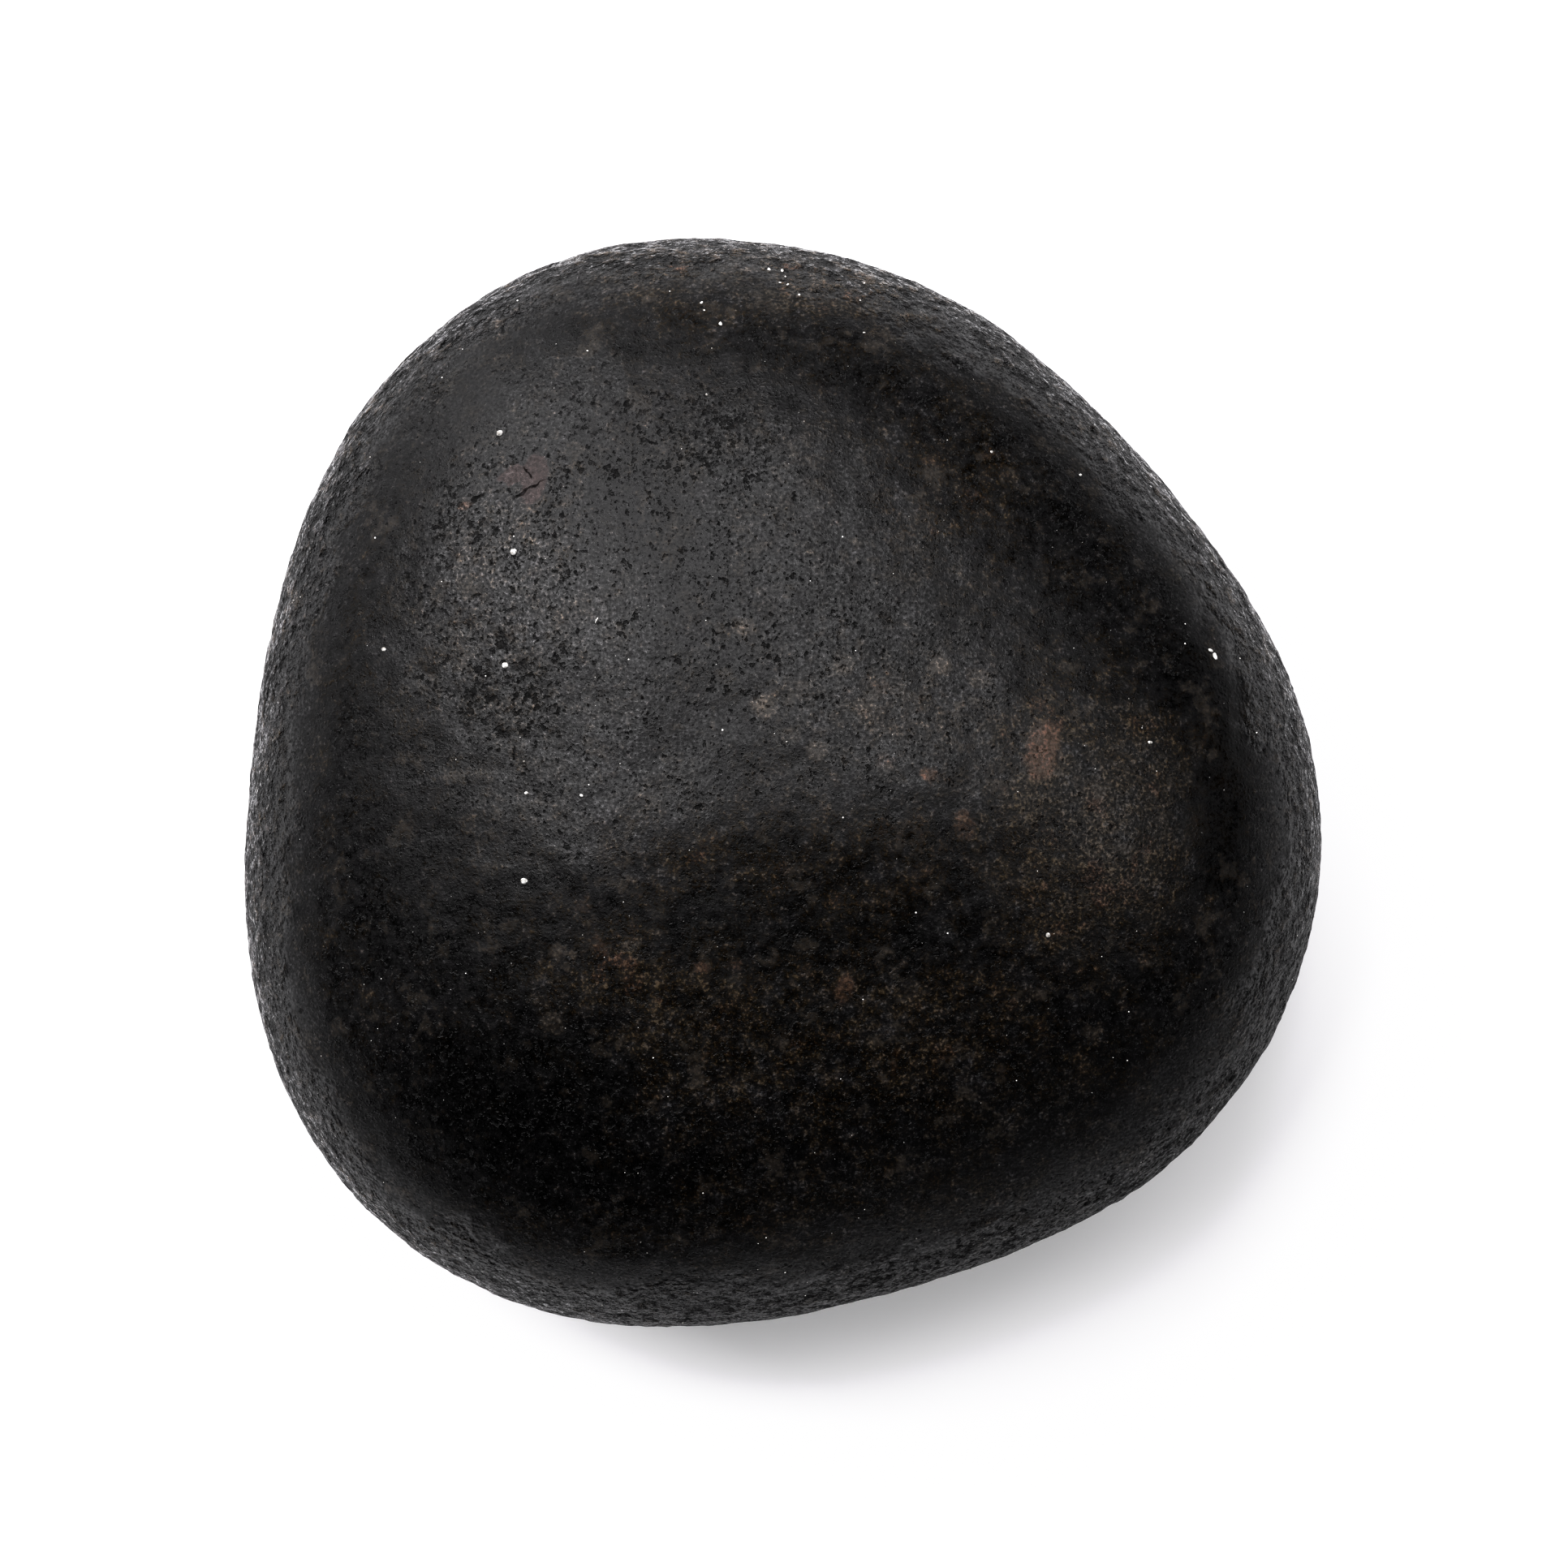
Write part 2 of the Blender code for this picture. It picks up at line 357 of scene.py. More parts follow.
class Graph:
    """Adds nodes to a node tree and sets each of their inputs to a value or an output."""

    def __init__(self, tree):
        self.tree = tree

    def add(self, kind, inputs=None, **settings):
        """New node; inputs maps a socket's name or index to a value or to another output."""
        node = self.tree.nodes.new(kind)
        for name, value in settings.items():
            setattr(node, name, value)
        for key, value in (inputs or {}).items():
            if isinstance(value, bpy.types.NodeSocket):
                self.tree.links.new(value, node.inputs[key])
            else:
                node.inputs[key].default_value = value
        return node

    def math(self, operation, first, second=0.0):
        """Result of a scalar operation."""
        return self.add("ShaderNodeMath", {0: first, 1: second}, operation=operation).outputs[0]

    def chain(self, operation, values):
        """Result of a scalar operation taken along several values."""
        total = values[0]
        for value in values[1:]:
            total = self.math(operation, total, value)
        return total

    def sum(self, *values):
        """Sum of several numbers."""
        return self.chain("ADD", values)

    def product(self, *values):
        """Product of several numbers."""
        return self.chain("MULTIPLY", values)

    def largest(self, *values):
        """Largest of several numbers."""
        return self.chain("MAXIMUM", values)

    def vector(self, operation, first, second=(0.0, 0.0, 0.0)):
        """Result of a vector operation."""
        node = self.add("ShaderNodeVectorMath", {0: first, 1: second}, operation=operation)
        return node.outputs["Vector"]

    def times(self, vector, factor):
        """A vector stretched by a number or an output."""
        node = self.add(
            "ShaderNodeVectorMath", {0: vector, "Scale": factor}, operation="SCALE")
        return node.outputs["Vector"]

    def ease(self, value, low, high, to_low=0.0, to_high=1.0):
        """Smooth step from one value to another as an input goes from low to high."""
        node = self.add(
            "ShaderNodeMapRange",
            {"Value": value, "From Min": low, "From Max": high, "To Min": to_low,
             "To Max": to_high},
            interpolation_type="SMOOTHSTEP")
        return node.outputs["Result"]

    def noise(self, place, size, detail=2.0, roughness=0.5):
        """Cloudy noise about 0.5 whose features are about the given size."""
        node = self.add(
            "ShaderNodeTexNoise",
            {"Vector": place, "Scale": 1 / size, "Detail": detail, "Roughness": roughness})
        return node.outputs[0]

    def three_noises(self, place, size, detail=2.0, roughness=0.6):
        """Three clouds about 0.5 that have nothing to do with each other."""
        node = self.add(
            "ShaderNodeTexNoise",
            {"Vector": place, "Scale": 1 / size, "Detail": detail, "Roughness": roughness})
        return self.add("ShaderNodeSeparateXYZ", {0: node.outputs["Color"]}).outputs

    def roughened(self, place, size, amount):
        """Places pushed about by noise, so that edges drawn on them come out ragged."""
        node = self.add(
            "ShaderNodeTexNoise", {"Vector": place, "Scale": 1 / size, "Detail": 2.0})
        push = self.vector("SUBTRACT", node.outputs["Color"], (0.5, 0.5, 0.5))
        return self.vector("ADD", place, self.times(push, amount))

    def join(self, first, second, third):
        """One vector made of three numbers."""
        return self.add("ShaderNodeCombineXYZ", {0: first, 1: second, 2: third}).outputs[0]

    def mix(self, factor, first, second):
        """Colour between two others."""
        node = self.add("ShaderNodeMix", {0: factor, 6: first, 7: second}, data_type="RGBA")
        return node.outputs[2]

    def scaled(self, cloud, factor):
        """Noise about 0.5 turned into noise about 0, and stretched."""
        return self.product(self.math("SUBTRACT", cloud, 0.5), factor)

    def below(self, value, limit, edge):
        """1 where a value is below a limit by at least the width of the edge, and 0 above it."""
        return self.ease(self.math("SUBTRACT", limit, value), 0.0, edge)

    def attribute(self, name):
        """The three numbers that the mesh keeps at each point under a name."""
        node = self.add("ShaderNodeAttribute", attribute_name=name)
        split = self.add("ShaderNodeSeparateXYZ", {0: node.outputs["Vector"]})
        return split.outputs

    def away(self, place, centre, turn, half_size):
        """Distance from a centre, where 1 is the edge of an ellipsoid turned about +Z."""
        offset = self.vector("SUBTRACT", place, centre)
        turned = self.add("ShaderNodeVectorRotate", {"Vector": offset, "Angle": -turn},
                          rotation_type="Z_AXIS")
        scaled = self.vector("DIVIDE", turned.outputs[0], half_size)
        return self.add("ShaderNodeVectorMath", {0: scaled}, operation="LENGTH").outputs["Value"]

    def patch(self, place, patch, core, edge):
        """Strength of a patch given by its place, half-widths, turn and strength."""
        x, y, half_width, half_length, turn, strength = patch
        half_size = (half_width * MM, half_length * MM, max(half_width, half_length) * MM)
        away = self.away(place, crown_point(x * MM, y * MM), math.radians(turn), half_size)
        return self.ease(away, core, edge, strength, 0.0)

    def patches(self, place, patches, solidity=SOFT_PATCH):
        """Strongest of several patches."""
        return self.largest(*[self.patch(place, patch, *solidity) for patch in patches])


def live_socket(sockets, name):
    """The socket of a name that is in use, on a node that keeps one for each kind of data."""
    return next(socket for socket in sockets if socket.name == name and socket.enabled)


def crown_point(x, y):
    """Point of the frame's stone straight below a place above its crown."""
    found, point, _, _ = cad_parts[STONE_NODE].ray_cast(
        Vector((x, y, ABOVE_CROWN)), Vector((0.0, 0.0, -1.0)))
    if not found:
        raise RuntimeError(f"no stone below ({x:.4f}, {y:.4f})")
    return point


def geometry_tree(name, inputs):
    """Geometry node tree with named inputs, each (name, socket type), and one output."""
    tree = bpy.data.node_groups.new(name, "GeometryNodeTree")
    for label, kind in inputs:
        tree.interface.new_socket(name=label, in_out="INPUT", socket_type=kind)
    tree.interface.new_socket(
        name="Geometry", in_out="OUTPUT", socket_type="NodeSocketGeometry")
    return tree


def finish_tree(graph, geometry, material):
    """Ends a tree in real, smooth faces with their material."""
    real = graph.add("GeometryNodeRealizeInstances", {"Geometry": geometry})
    smooth = graph.add("GeometryNodeSetShadeSmooth", {"Geometry": real.outputs[0]})
    finished = graph.add(
        "GeometryNodeSetMaterial", {"Geometry": smooth.outputs[0], "Material": material})
    graph.add("NodeGroupOutput", {"Geometry": finished.outputs[0]})


def make_piece(name, tree, values):
    """Plain mesh object that a geometry tree makes from values keyed by its inputs' names."""
    maker = bpy.data.objects.new(name + "_maker", bpy.data.meshes.new(name + "_maker"))
    bpy.context.scene.collection.objects.link(maker)
    modifier = maker.modifiers.new(name, "NODES")
    modifier.node_group = tree
    for item in tree.interface.items_tree:
        if item.in_out == "INPUT":
            modifier[item.identifier] = values[item.name]
    depsgraph = bpy.context.evaluated_depsgraph_get()
    mesh = bpy.data.meshes.new_from_object(
        maker.evaluated_get(depsgraph), preserve_all_data_layers=True, depsgraph=depsgraph)
    bpy.data.objects.remove(maker)
    if not mesh.polygons:
        raise RuntimeError(f"the tree for {name} made no faces")
    mesh.name = name
    piece = bpy.data.objects.new(name, mesh)
    bpy.context.scene.collection.objects.link(piece)
    return piece


def smooth_form():
    """Welded and rounded copy of the frame's stone, for the fine surface to be laid on."""
    bm = bmesh.new()
    bm.from_mesh(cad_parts[STONE_NODE].data)
    bmesh.ops.remove_doubles(bm, verts=bm.verts[:], dist=0.01 * MM)
    mesh = bpy.data.meshes.new("stone_form")
    bm.to_mesh(mesh)
    bm.free()
    form = bpy.data.objects.new("stone_form", mesh)
    bpy.context.scene.collection.objects.link(form)
    rounding = form.modifiers.new("rounding", "SUBSURF")
    rounding.levels = 2
    rounding.render_levels = 2
    return form


def surface_tree():
    """Tree that lays a fine, lumpy and pitted skin over the stone's form."""
    tree = geometry_tree("stone_surface", (
        ("Form", "NodeSocketObject"),
        ("Middle", "NodeSocketVector"),
        ("Faces per edge", "NodeSocketInt"),
        ("Smoothing", "NodeSocketInt"),
        ("Lump size", "NodeSocketFloat"),
        ("Lump rise", "NodeSocketFloat"),
        ("Grain size", "NodeSocketFloat"),
        ("Grain rise", "NodeSocketFloat"),
        ("Pit size", "NodeSocketFloat"),
        ("Pit depth", "NodeSocketFloat"),
        ("Material", "NodeSocketMaterial"),
    ))
    graph = Graph(tree)
    given = graph.add("NodeGroupInput").outputs

    # A cube of even faces, blown up into a ball well outside the stone.
    corners = graph.math("ADD", given["Faces per edge"], 1.0)
    cube = graph.add("GeometryNodeMeshCube", {
        "Size": (2.0, 2.0, 2.0), "Vertices X": corners, "Vertices Y": corners,
        "Vertices Z": corners})
    place = graph.add("GeometryNodeInputPosition").outputs[0]
    bent = graph.vector("TANGENT", graph.times(place, math.pi / 4))
    outward = graph.vector("NORMALIZE", bent)
    outside = graph.vector("ADD", given["Middle"], graph.times(outward, BALL_RADIUS))

    # Each point drops inwards onto the form, and the form's small facets are smoothed away.
    form = graph.add("GeometryNodeObjectInfo", {"Object": given["Form"]})
    ray = graph.add("GeometryNodeRaycast", {
        "Target Geometry": form.outputs["Geometry"], "Source Position": outside,
        "Ray Direction": graph.times(outward, -1.0), "Ray Length": 2 * BALL_RADIUS})
    wrapped = graph.add("GeometryNodeSetPosition", {
        "Geometry": cube.outputs["Mesh"], "Position": ray.outputs["Hit Position"]})
    blur = graph.add("GeometryNodeBlurAttribute", {
        "Iterations": given["Smoothing"]}, data_type="FLOAT_VECTOR")
    tree.links.new(place, live_socket(blur.inputs, "Value"))
    smooth = graph.add("GeometryNodeSetPosition", {
        "Geometry": wrapped.outputs[0], "Position": live_socket(blur.outputs, "Value")})

    # The sides are battered, and larger pits crowd there and in the named places.
    normal = graph.add("GeometryNodeInputNormal").outputs[0]
    upright = graph.add("ShaderNodeSeparateXYZ", {0: normal}).outputs[2]
    shift = graph.scaled(graph.noise(place, BATTERED_CLOUD), BATTERED_SHIFT)
    battered = graph.ease(graph.sum(graph.math("ABSOLUTE", upright), shift),
                          *BATTERED_UPRIGHT, 1.0, 0.0)
    zone_place = graph.roughened(place, *ZONE_RAGGEDNESS)
    stray = graph.ease(graph.noise(place, CROWDING_CLOUD, 1.0), *STRAY_CROWDS,
                       0.0, STRAY_CROWDING)
    crowding = graph.largest(graph.patches(zone_place, PIT_CROWDS), stray)

    def cloud(size, detail):
        """Cloudy noise about 0.5 whose size is an input of the tree."""
        return graph.add("ShaderNodeTexNoise", {
            "Vector": place, "Scale": graph.math("DIVIDE", 1.0, size), "Detail": detail,
            "Roughness": 0.6}).outputs[0]

    # Lumps and grain stand out, and pits sink in.
    lumps = graph.scaled(cloud(given["Lump size"], 3.0), given["Lump rise"])
    grain = graph.product(graph.scaled(cloud(given["Grain size"], 1.0), given["Grain rise"]),
                          graph.ease(battered, 0.0, 1.0, CROWN_GRAIN, 1.0))
    limit = graph.sum(graph.ease(crowding, 0.0, 1.0, *LARGE_PIT_LIMIT),
                      graph.product(battered, BATTERED_PIT_LIMIT))
    pit = graph.product(graph.below(cloud(given["Pit size"], 2.0), limit, LARGE_PIT_EDGE),
                        graph.ease(battered, 0.0, 1.0, 1.0, BATTERED_PIT_DEPTH))
    height = graph.math("SUBTRACT", graph.sum(lumps, grain),
                        graph.product(pit, given["Pit depth"]))

    # The masks that colour the stone are kept on its points.
    stain_place = graph.roughened(place, *STAIN_RAGGEDNESS)
    # Brown weathering, less the painted shade zones, which take it below 0.
    weathering_less_shade = graph.math("SUBTRACT", graph.patches(zone_place, BROWN_ZONES),
                            graph.patches(zone_place, PAINTED_SHADE_ZONES))
    zones = graph.join(weathering_less_shade, crowding, battered)
    stains = graph.join(graph.patches(stain_place, TAN_PATCHES, TAN_PATCH),
                        graph.patches(stain_place, RUST_STAINS, RUST_PATCH),
                        graph.patches(zone_place, WORN_BANDS))
    marked = smooth.outputs[0]
    for name, value in (("zones", zones), ("stains", stains)):
        store = graph.add(
            "GeometryNodeStoreNamedAttribute", {"Geometry": marked, "Name": name},
            data_type="FLOAT_VECTOR", domain="POINT")
        tree.links.new(value, live_socket(store.inputs, "Value"))
        marked = store.outputs[0]
    carved = graph.add("GeometryNodeSetPosition", {
        "Geometry": marked, "Offset": graph.times(normal, height)})

    # Nothing sinks below the surface that the stone lies on.
    seated = graph.add("GeometryNodeSetPosition", {
        "Geometry": carved.outputs[0],
        "Position": graph.vector("MAXIMUM", place, (-1.0, -1.0, 0.0))})
    finish_tree(graph, seated.outputs[0], given["Material"])
    return tree


def stone_material(look):
    """Near-black diorite: grey, brown and tan grains, rust, fine pits, battered sides; painted
    shade, glints, sheen.
    """
    material = bpy.data.materials.new("pitted_diorite")
    material.use_nodes = True
    graph = Graph(material.node_tree)
    place = graph.add("ShaderNodeTexCoord").outputs["Object"]
    marks = stone_marks(graph, place)
    clouds = stone_clouds(graph, place)
    grains = grain_masks(graph, marks, clouds)
    hollow = hollow_mask(graph, marks, clouds)

    hue = grain_hue(graph, look, marks, clouds, grains)
    color = graph.times(hue, grain_lightness(graph, look, marks, clouds, grains))
    # Pits and cracks are darkened with painted shade.
    color = graph.mix(graph.product(hollow, PIT_SHADE), color, look.painted_pit_shade)
    bump = graph.add("ShaderNodeBump", {
        "Strength": 1.0, "Distance": look.relief,
        "Height": fine_relief(graph, look, marks, clouds, hollow)})

    shader = material.node_tree.nodes["Principled BSDF"]
    links = material.node_tree.links
    links.new(color, shader.inputs["Base Color"])
    links.new(dullness(graph, look, marks, clouds, hollow), shader.inputs["Roughness"])
    links.new(bump.outputs[0], shader.inputs["Normal"])
    shader.inputs["Specular IOR Level"].default_value = look.sheen
    return material


def stone_marks(graph, place):
    """Masks of the marks that lie in known places, each from 0 to 1.

    brown is below 0 on the painted shade zones. forward is a distance towards the shaded side, not
    a mask.
    """
    brown, crowding, battered = graph.attribute("zones")
    tan, rust, worn = graph.attribute("stains")

    # What is too small for the mesh's points is drawn here.
    crystal_place = graph.roughened(place, *CRYSTAL_RAGGEDNESS)
    crystal = graph.patches(crystal_place, PINK_CRYSTAL, CRYSTAL_PATCH)
    rust = graph.largest(rust, graph.patches(crystal_place, ORANGE_SPOTS, SPOT_PATCH))
    crack = graph.largest(*[crack_mask(graph, crystal_place, *crack) for crack in CRACKS])

    forward = graph.add("ShaderNodeVectorMath", {0: place, 1: SHADED_SIDE},
                        operation="DOT_PRODUCT").outputs["Value"]
    # The battered sides fade on the shaded front right side, which takes away painted sheen as
    # painted shade.
    struck_and_lit = graph.product(battered, graph.ease(forward, *LESS_STRUCK_IN_SHADE, 1.0, LEAST_STRUCK_IN_SHADE))
    return SimpleNamespace(
        brown=brown, crowding=crowding, battered=battered, tan=tan, rust=rust, worn=worn,
        crystal=crystal, crack=crack, forward=forward, struck_and_lit=struck_and_lit,
        weathered=graph.sum(graph.product(brown, 1 - LEAST_WEATHERED), LEAST_WEATHERED))


def crack_mask(graph, place, first_end, other_end, width):
    """Thin line between the two ends of a crack; the colour darkens it with painted shade."""
    start, end = [crown_point(x * MM, y * MM) for x, y in (first_end, other_end)]
    along = end - start
    turn = math.atan2(along.y, along.x)
    away = graph.away(place, (start + end) / 2, turn,
                      (along.length / 2, width / 2 * MM, CRACK_DEPTH))
    return graph.ease(away, *CRACK_EDGE, 1.0, 0.0)


def stone_clouds(graph, place):
    """Clouds about 0.5 in four sizes: blotches, mottles, pits and the grains themselves."""
    blotch, blotch_warmth, tan_blotch = graph.three_noises(place, BLOTCH_CLOUD, 3.0)
    mottle, warmth, lump = graph.three_noises(place, MOTTLE_CLOUD, 3.0)
    small_pit, wide_pit, _ = graph.three_noises(place, PIT_CLOUD)
    speckle, grit, flake = graph.three_noises(place, SPECKLE_CLOUD)
    return SimpleNamespace(
        blotch=blotch, blotch_warmth=blotch_warmth, tan_blotch=tan_blotch, mottle=mottle,
        warmth=warmth, lump=lump, small_pit=small_pit, wide_pit=wide_pit, speckle=speckle,
        grit=grit, flake=flake)


def grain_masks(graph, marks, clouds):
    """Masks of the kinds of grain that are scattered by chance, and of the painted glints."""
    broad, fine, known = TAN_CLUMP
    clump = graph.sum(graph.product(clouds.tan_blotch, broad), graph.product(clouds.warmth, fine),
                      graph.product(marks.tan, known))
    return SimpleNamespace(
        pale=graph.product(graph.ease(clouds.flake, *PALE_FLAKES), marks.weathered),
        # Glints are painted highlights.
        painted_glint=graph.product(graph.ease(clouds.flake, *PAINTED_GLINTS), marks.weathered),
        tan=graph.product(graph.ease(clump, *TAN_SPOTS),
                          graph.math("SUBTRACT", 1.0, marks.crystal)),
        rust=graph.product(graph.ease(clouds.blotch_warmth, *RUST_SPOTS), marks.brown))


def grain_lightness(graph, look, marks, clouds, grains):
    """What the colour is multiplied by. It grows evenly in proportion, so few grains are pale."""
    # The battered sides are lighter with crushed grain and with painted sheen of the floor's
    # reflection.
    crushed_and_sheen = graph.sum(graph.scaled(clouds.mottle, CRUSHED_AND_SHEEN_MOTTLES),
                        graph.scaled(clouds.blotch, CRUSHED_AND_SHEEN_BLOTCHES), CRUSHED_AND_SHEEN_LIFT)
    chance = graph.sum(
        graph.scaled(clouds.speckle, look.grain_contrast),
        graph.scaled(clouds.mottle, look.mottle_contrast),
        graph.scaled(clouds.blotch, look.blotch_contrast),
        graph.product(crushed_and_sheen, graph.math("POWER", marks.struck_and_lit, CRUSHED_AND_SHEEN_ONSET)),
        graph.product(grains.pale, FLAKE_LIFT),
        graph.product(grains.rust, RUST_SPOT_LIFT),
        # Painted glints.
        graph.product(grains.painted_glint, PAINTED_GLINT_LIFT))
    stained = graph.largest(marks.rust, marks.worn, grains.tan, marks.tan)
    even = graph.largest(graph.product(stained, STAIN_EVENNESS),
                         graph.product(marks.crystal, CRYSTAL_EVENNESS))
    level = graph.sum(
        graph.product(chance, graph.math("SUBTRACT", 1.0, even)),
        graph.largest(
            graph.product(marks.tan, TAN_PATCH_LIFT),
            graph.product(grains.tan, graph.ease(marks.brown, 0.0, 1.0, *TAN_SPOT_LIFT))),
        # Lighter where weathered, darker with painted shade where brown is below 0.
        graph.product(marks.brown, look.zone_lift),
        graph.product(marks.crystal, CRYSTAL_LIFT),
        graph.product(marks.rust, graph.ease(marks.brown, 0.0, 1.0, *RUST_STAIN_LIFT)))
    return graph.math("MINIMUM", graph.math("EXPONENT", level), BRIGHTEST_GRAIN)


def grain_hue(graph, look, marks, clouds, grains):
    """Colour of an average grain: grey or brown, browner where weathered, and stained."""
    brownness = graph.sum(
        graph.scaled(clouds.warmth, FINE_WARMTH),
        graph.scaled(clouds.blotch_warmth, BROAD_WARMTH),
        graph.product(marks.weathered, WEATHERED_WARMTH),
        graph.product(grains.pale, FLAKE_WARMTH))
    hue = graph.mix(graph.ease(brownness, 0.0, 1.0), look.grey_color, look.brown_color)
    breaks = graph.scaled(clouds.mottle, STAIN_BREAKS)
    tan = graph.largest(graph.ease(marks.tan, 0.0, FULL_TAN),
                        graph.product(grains.tan, TAN_SPOT_COVER))
    rust = graph.largest(marks.rust, grains.rust)
    for strength, stain_color in ((tan, look.tan_color), (rust, look.rust_color)):
        cover = graph.ease(graph.sum(strength, breaks), *STAIN_COVER)
        hue = graph.mix(cover, hue, stain_color)
    return graph.mix(marks.crystal, hue, look.crystal_color)


def hollow_mask(graph, marks, clouds):
    """Small compact pits, a few wider ones, more of both where pits crowd, and the cracks."""
    rough = graph.largest(graph.product(marks.crowding, CROWDED_PITS),
                          graph.product(marks.battered, BATTERED_PITS))
    smooth = graph.sum(graph.product(graph.largest(marks.crystal, marks.worn), SMOOTH_PITS),
                       graph.scaled(clouds.blotch, UNEVEN_PITS))
    crowd = graph.math("SUBTRACT", rough, smooth)
    lump_share, cloud_share = WIDE_PIT_SHARES
    wide_cloud = graph.sum(graph.product(clouds.lump, lump_share),
                           graph.product(clouds.wide_pit, cloud_share))
    small, grit, wide = [
        graph.below(cloud, graph.sum(graph.product(crowd, crowding), limit), edge)
        for cloud, crowding, (limit, edge) in (
            (clouds.small_pit, 1.0, SMALL_PITS),
            (clouds.grit, 1.0, GRIT_PITS),
            (wide_cloud, WIDE_PIT_CROWDING, WIDE_PITS))]
    return graph.largest(graph.product(small, SMALL_PIT_STRENGTH),
                         graph.product(grit, GRIT_PIT_STRENGTH), wide, marks.crack)


def fine_relief(graph, look, marks, clouds, hollow):
    """Height of the grain less the depth of the pits, coarser on the battered sides."""
    coarse = graph.sum(
        graph.product(graph.scaled(clouds.mottle, 1.0),
                      graph.ease(marks.struck_and_lit, 0.0, 1.0, look.mottle_relief, look.side_relief)),
        graph.product(graph.scaled(clouds.blotch, BLOTCH_RELIEF * look.side_relief),
                      marks.struck_and_lit))
    grain = graph.sum(graph.product(clouds.speckle, look.grain_relief), coarse)
    depth = graph.product(hollow, graph.ease(marks.battered, 0.0, 1.0, *PIT_RELIEF))
    return graph.math("SUBTRACT", grain, depth)


def dullness(graph, look, marks, clouds, hollow):
    """Roughness: clouded, less on the battered sides, more on the shaded front right side and in
    the pits.
    """
    return graph.sum(
        look.gloss,
        graph.scaled(clouds.mottle, DULL_MOTTLES),
        graph.scaled(clouds.blotch, DULL_BLOTCHES),
        graph.scaled(clouds.speckle, DULL_GRAINS),
        graph.product(marks.struck_and_lit, -STRUCK_GLOSS),
        graph.ease(marks.forward, *MORE_DULL, 0.0, SHADED_SIDE_DULLNESS),
        graph.product(hollow, PIT_DULLNESS))


def white_material(look):
    """Chalky white grains."""
    material = bpy.data.materials.new("white_grain")
    material.use_nodes = True
    graph = Graph(material.node_tree)
    shader = material.node_tree.nodes["Principled BSDF"]
    place = graph.add("ShaderNodeTexCoord").outputs["Object"]
    cloud = graph.noise(place, SPECKLE_CLOUD)
    color = graph.mix(graph.ease(cloud, 0.35, 0.6), look.shade_color, look.color)
    material.node_tree.links.new(color, shader.inputs["Base Color"])
    shader.inputs["Roughness"].default_value = 0.6
    return material


def grains_tree():
    """Tree that beds a pebbly grain at each marked point and scatters tiny ones all over."""
    tree = geometry_tree("white_grains", (
        ("Stone", "NodeSocketObject"),
        ("Marks", "NodeSocketObject"),
        ("Smallest", "NodeSocketFloat"),
        ("Largest", "NodeSocketFloat"),
        ("Per square metre", "NodeSocketFloat"),
        ("Seed", "NodeSocketInt"),
        ("Material", "NodeSocketMaterial"),
    ))
    graph = Graph(tree)
    given = graph.add("NodeGroupInput").outputs
    stone = graph.add("GeometryNodeObjectInfo", {"Object": given["Stone"]})
    marks = graph.add("GeometryNodeObjectInfo", {"Object": given["Marks"]})
    place = graph.add("GeometryNodeInputPosition").outputs[0]

    # Marked grains drop straight down onto the stone.
    ray = graph.add("GeometryNodeRaycast", {
        "Target Geometry": stone.outputs["Geometry"], "Source Position": place,
        "Ray Direction": (0.0, 0.0, -1.0), "Ray Length": 1.0})
    dropped = graph.add("GeometryNodeSetPosition", {
        "Geometry": marks.outputs["Geometry"], "Position": ray.outputs["Hit Position"]})
    spread, heading = [graph.add(
        "GeometryNodeInputNamedAttribute", {"Name": name}, data_type="FLOAT_VECTOR").outputs[0]
        for name in ("spread", "heading")]
    pebble = graph.add("GeometryNodeMeshIcoSphere", {"Radius": 0.5, "Subdivisions": 3})
    laid = graph.add("GeometryNodeInstanceOnPoints", {
        "Points": dropped.outputs[0], "Instance": pebble.outputs["Mesh"],
        "Rotation": heading, "Scale": spread})
    marked = graph.add("GeometryNodeRealizeInstances", {"Geometry": laid.outputs[0]})
    chipped = graph.add("GeometryNodeSetPosition", {
        "Geometry": marked.outputs[0],
        "Position": graph.roughened(place, *WHITE_GRAIN_RAGGEDNESS)})

    # Tiny grains are scattered, and the smallest are the most common.
    height = graph.add("ShaderNodeSeparateXYZ", {0: place}).outputs[2]
    scatter = graph.add("GeometryNodeDistributePointsOnFaces", {
        "Mesh": stone.outputs["Geometry"], "Density": given["Per square metre"],
        "Selection": graph.math("GREATER_THAN", height, 1.0 * MM), "Seed": given["Seed"]})
    draw = graph.add("FunctionNodeRandomValue", {"Seed": given["Seed"]}, data_type="FLOAT")
    rare = graph.math("POWER", draw.outputs[1], 4.0)
    span = graph.math("SUBTRACT", given["Largest"], given["Smallest"])
    size = graph.sum(given["Smallest"], graph.product(rare, span))
    random_turn = graph.add("FunctionNodeRandomValue", {
        "Seed": given["Seed"], 1: (math.tau, math.tau, math.tau)}, data_type="FLOAT_VECTOR")
    small_grain = graph.add("GeometryNodeMeshIcoSphere", {"Radius": 0.5, "Subdivisions": 1})
    scattered = graph.add("GeometryNodeInstanceOnPoints", {
        "Points": scatter.outputs["Points"], "Instance": small_grain.outputs["Mesh"],
        "Rotation": random_turn.outputs[0], "Scale": size})

    both = graph.add("GeometryNodeJoinGeometry")
    tree.links.new(chipped.outputs[0], both.inputs[0])
    tree.links.new(scattered.outputs[0], both.inputs[0])
    finish_tree(graph, both.outputs[0], given["Material"])
    return tree


